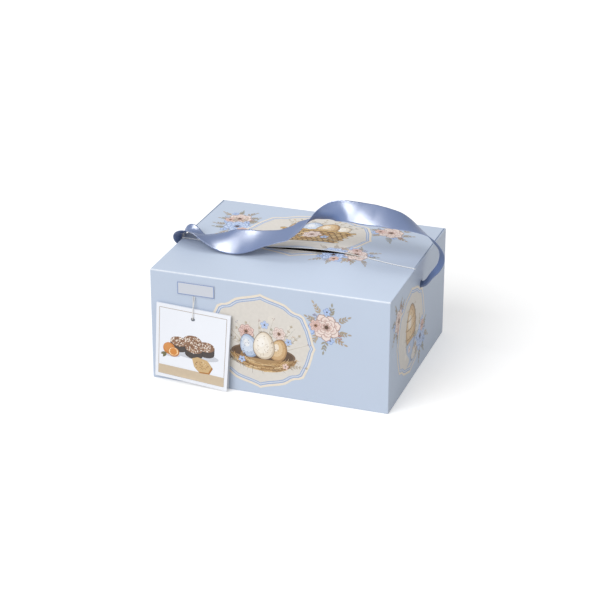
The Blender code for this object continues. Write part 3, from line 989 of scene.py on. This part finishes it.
# The label is a small rectangle of uncoated paper with a printed blue rule, pasted on the
# front above the tag, where it holds the ends of the tag's string.
label = frame["nodes"]["label"]
label_low, label_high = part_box("label")
label_finish, label_tree, label_shader = finish("label_paper", Specular_IOR_Level=0.3)
label_spot = add_node(label_tree, "SeparateXYZ", Vector=add_node(label_tree, "TexCoord").outputs["Object"])
middle = (label_low + label_high) / 2
size = label_high - label_low
RULE_IN = 0.2 * MM
RULE_WIDTH = 0.9 * MM
inward = None
for axis, reach in ((0, size.x / 2), (2, size.z / 2)):
    off = math_of(
        label_tree, "ABSOLUTE", math_of(label_tree, "SUBTRACT", label_spot.outputs[axis], middle[axis])
    )
    gap = math_of(label_tree, "SUBTRACT", reach - RULE_IN, off)
    inward = gap if inward is None else math_of(label_tree, "MINIMUM", inward, gap)
ruled = math_of(label_tree, "LESS_THAN", math_of(label_tree, "ABSOLUTE", math_of(
    label_tree, "SUBTRACT", inward, RULE_WIDTH / 2)), RULE_WIDTH / 2)
coat(label_tree, label_shader, mix_of(label_tree, ruled, paint("C9CDD6"), paint("7B90BC")), 0.06, 0.4)
label.data.materials.clear()
label.data.materials.append(label_finish)


# The hang tag is a folded white card with a punched hole. Its front leaf is printed with a
# thin frame, a beige band, and a picture of the loaf, an orange and a slice.
TAG_WIDTH = 91 * MM
TAG_HEIGHT = 93 * MM
TAG_TURN = radians(2.7)
TAG_HOLE_BELOW_TOP = 13 * MM
TAG_HOLE_AT = (-89.4 * MM, 83.2 * MM)
TAG_FOLD_WIDTH = 1.7 * MM
TAG_OPENING_TOP = 2.2 * MM
TAG_OPENING_BOTTOM = 7.4 * MM
TAG_OFF_FACE = 1.9 * MM
tag = frame["nodes"]["tag"]
card, card_tree, card_shader = finish("white_tag_card", Specular_IOR_Level=0.4)
coat(card_tree, card_shader, paint("E9ECF3"), 0.03, 0.3)
tag.data.materials.clear()
tag.data.materials.append(card)

tag_place = Matrix.Translation(
    (TAG_HOLE_AT[0], -CARTON_DEPTH / 2 - TAG_OFF_FACE, TAG_HOLE_AT[1])
) @ Matrix.Rotation(TAG_TURN, 4, "Y")


def on_tag(u, v):
    """A point of the front leaf: u from its left edge and v from its bottom, in mm."""
    x = u * MM - TAG_WIDTH / 2
    z = v * MM - TAG_HEIGHT + TAG_HOLE_BELOW_TOP
    low = (TAG_HOLE_BELOW_TOP - z) / TAG_HEIGHT
    opening = TAG_OPENING_TOP + (TAG_OPENING_BOTTOM - TAG_OPENING_TOP) * low
    t = max(0, (x + TAG_WIDTH / 2 - TAG_FOLD_WIDTH / 2) / (TAG_WIDTH - TAG_FOLD_WIDTH / 2))
    swing = TAG_FOLD_WIDTH + (opening - TAG_FOLD_WIDTH) * t**1.3
    return tag_place @ Vector((x, -swing - INK, z))


def loaf_scene(picture, x, y, s):
    """A dove-shaped loaf in its dark case: four lobes under a crust of sugar and almonds."""
    lobes = ((-17, 0, 10.5, 8.5), (0, 4, 11.5, 9.5), (17, 0, 10.5, 8.5), (2, -4.5, 11, 9))
    picture.fill(oval(x + 2 * s, y - 13 * s, 31 * s, 5.5 * s, count=30), "C8CBD3", 0.5)
    for u, v, wide, high in lobes:
        side = [(x + (u + wide * cos(a)) * s, y + (v - 8 + high * 0.62 * sin(a)) * s)
                for a in [pi + pi * k / 14 for k in range(15)]]
        top = [(x + (u + wide) * s, y + v * s), (x + (u - wide) * s, y + v * s)]
        picture.fill(side + top, "3E3836")
        picture.fill([(px * 0.9 + (x + u * s) * 0.1, py) for px, py in side] + top, "57504D", 0.5)
    for u, v, wide, high in lobes:
        picture.fill(oval(x + u * s, y + v * s, wide * s, high * 0.72 * s, count=22), "8A6A55")
        for _ in range(75):
            a, r = chance.uniform(0, tau), sqrt(chance.random()) * 0.97
            spot_at = (x + (u + wide * r * cos(a)) * s, y + (v + high * 0.72 * r * sin(a)) * s)
            tone = chance.choice(("EADFD3", "F5EFE8", "E4D8CC", "6F4F3C", "C9AF96", "A98468"))
            picture.fill(oval(*spot_at, chance.uniform(0.5, 1.2) * s, chance.uniform(0.35, 0.7) * s,
                              chance.uniform(0, pi), 7), tone)


def orange_scene(picture, x, y, s):
    """An orange, a cut half with its segments, and two leaves."""
    picture.fill(oval(x + 2 * s, y - 7 * s, 12 * s, 3 * s, count=16), "C8CBD3", 0.5)
    picture.fill(oval(x, y, 7.5 * s, 7.5 * s, count=26), "C47E45")
    picture.fill(oval(x - 1.2 * s, y + 1.4 * s, 5.4 * s, 5.4 * s, count=22), "D6985E", 0.7)
    picture.fill(oval(x + 6 * s, y - 3.5 * s, 7 * s, 6 * s, 0.2, count=26), "B06A34")
    picture.fill(oval(x + 5.6 * s, y - 3.1 * s, 6 * s, 5.1 * s, 0.2, count=24), "F0D2A4")
    for k in range(9):
        angle = tau * k / 9
        foot = (x + 5.6 * s, y - 3.1 * s)
        picture.fill(blade(*foot, 5.0 * s, 3.0 * s, angle, 0.8), "D08A48")
    for angle in (3.5, 4.1):
        picture.fill(blade(x - 3 * s, y - 6 * s, 8 * s, 3.4 * s, angle), "6E6A4C")


def slice_scene(picture, x, y, s):
    """A slice of the loaf with its crumb."""
    outline = [(x + u * s, y + v * s) for u, v in (
        (-12, 6), (-5, 9), (7, 7), (13, 0), (9, -8), (-3, -9), (-9, -4))]
    picture.fill([(px + 1.5 * s, py - 1.5 * s) for px, py in outline], "A8743F")
    picture.fill(outline, "C9AB7E")
    for _ in range(40):
        a, r = chance.uniform(0, tau), sqrt(chance.random()) * 0.85
        place = (x + 10 * r * cos(a) * s, y + 6.6 * r * sin(a) * s)
        tone = chance.choice(("9A7A55", "E2D3B4", "8A6038", "BE9A6C"))
        picture.fill(oval(*place, chance.uniform(0.4, 1.1) * s, chance.uniform(0.3, 0.7) * s, a, 7), tone)


tag_picture = Picture()
FRAME_IN = 4.3
FRAME_LINE = 0.55
FRAME_TAUPE = "A9998B"
BAND_HEIGHT = 11.2
BAND_BEIGE = "C9B8A0"
TAG_GRID = 5
card_wide, card_high = TAG_WIDTH / MM, TAG_HEIGHT / MM
left_u, right_u = FRAME_IN, card_wide - FRAME_IN
low_v, high_v = FRAME_IN + 0.4, card_high - FRAME_IN - 0.3
for a, b in (
    ((left_u, low_v), (right_u, low_v)), ((left_u, high_v), (right_u, high_v)),
    ((left_u, low_v), (left_u, high_v)), ((right_u, low_v), (right_u, high_v)),
):
    tag_picture.line([a, b], FRAME_LINE, FRAME_TAUPE)
band_top = low_v + BAND_HEIGHT
band = [(left_u, low_v), (right_u, low_v), (right_u, band_top), (left_u, band_top)]
tag_picture.fill(band, BAND_BEIGE)
loaf_scene(tag_picture, 46, 49, 1.0)
orange_scene(tag_picture, 17, 38, 1.0)
slice_scene(tag_picture, 58, 25.5, 1.0)
print_picture("tag_print", tag_picture, on_tag, TAG_GRID)


# The string is twisted cotton. It comes from under the label, goes in through the tag's
# hole, and up again behind the tag.
STRING_DIAMETER = 1.1 * MM


def string_route():
    """Points in mm, with y counted from the carton's front face."""
    return [
        (-88.1, -0.95, 110.6),
        (-88.2, -1.9, 106.5),
        (-88.4, -3.6, 101.5),
        (-88.7, -5.0, 96.8),
        (-89.0, -5.4, 91.5),
        (-89.2, -5.3, 86.2),
        (-89.3, -4.65, 83.85),
        (-89.4, -3.1, 83.2),
        (-89.5, -1.6, 83.8),
        (-89.7, -0.95, 86),
        (-90.0, -0.93, 91),
        (-90.2, -0.93, 97),
        (-90.1, -0.93, 104),
        (-89.9, -0.95, 110.6),
    ]


string_path = smooth_rows(
    [Vector((0, -CARTON_DEPTH / 2, 0)) + Vector(point) * MM for point in string_route()], 6
)
STRANDS = 3
STRAND_RADIUS = 0.3 * MM
TWIST_PITCH = 2.6 * MM
work = bmesh.new()
fine_path = [
    a.lerp(b, k / 3) for a, b in zip(string_path, string_path[1:]) for k in range(3)
] + [string_path[-1]]
walked = 0
rings = [[] for _ in range(STRANDS)]
for i, point in enumerate(fine_path):
    ahead = fine_path[min(i + 1, len(fine_path) - 1)] - fine_path[max(i - 1, 0)]
    along = ahead.normalized()
    if i:
        walked += (point - fine_path[i - 1]).length
    out = Vector((1, 0, 0))
    out = (out - along * out.dot(along)).normalized()
    other = along.cross(out)
    for n in range(STRANDS):
        a = tau * walked / TWIST_PITCH + tau * n / STRANDS
        middle_at = point + (out * cos(a) + other * sin(a)) * (STRING_DIAMETER / 2 - STRAND_RADIUS)
        ring = []
        for k in range(8):
            b = tau * k / 8
            ring.append(work.verts.new(middle_at + (out * cos(b) + other * sin(b)) * STRAND_RADIUS))
        rings[n].append(ring)
for strand in rings:
    for near, far in zip(strand, strand[1:]):
        for k in range(8):
            after = (k + 1) % 8
            work.faces.new((near[k], near[after], far[after], far[k]))
    work.faces.new(strand[0][::-1])
    work.faces.new(strand[-1])
bmesh.ops.recalc_face_normals(work, faces=work.faces)
string_mesh = bpy.data.meshes.new("cotton_string")
work.to_mesh(string_mesh)
work.free()
string_mesh.shade_smooth()
cotton_string = add_object("cotton_string", string_mesh)
cotton, cotton_tree, cotton_shader = finish(
    "twisted_cotton", Roughness=0.85, Specular_IOR_Level=0.2, Sheen_Weight=0.3
)
cotton_spot = add_node(cotton_tree, "TexCoord").outputs["Object"]
lint = add_node(cotton_tree, "TexNoise", Vector=cotton_spot, Scale=2600, Detail=3)
cotton_tree.links.new(
    mix_of(cotton_tree, lint.outputs["Fac"], paint("D6D4D2"), paint("F2F0EC")),
    cotton_shader.inputs["Base Color"],
)
string_mesh.materials.append(cotton)
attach(cotton_string, "root")
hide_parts("tag_string")

# The panels reach every piece of the pack and neither floor, and the gloss only the ribbon.
for thing in bpy.context.scene.objects:
    if thing.type == "MESH" and thing not in (seen_floor, lighting_floor):
        lit_by_panels.objects.link(thing)
shines_in_panel.objects.link(satin_ribbon)
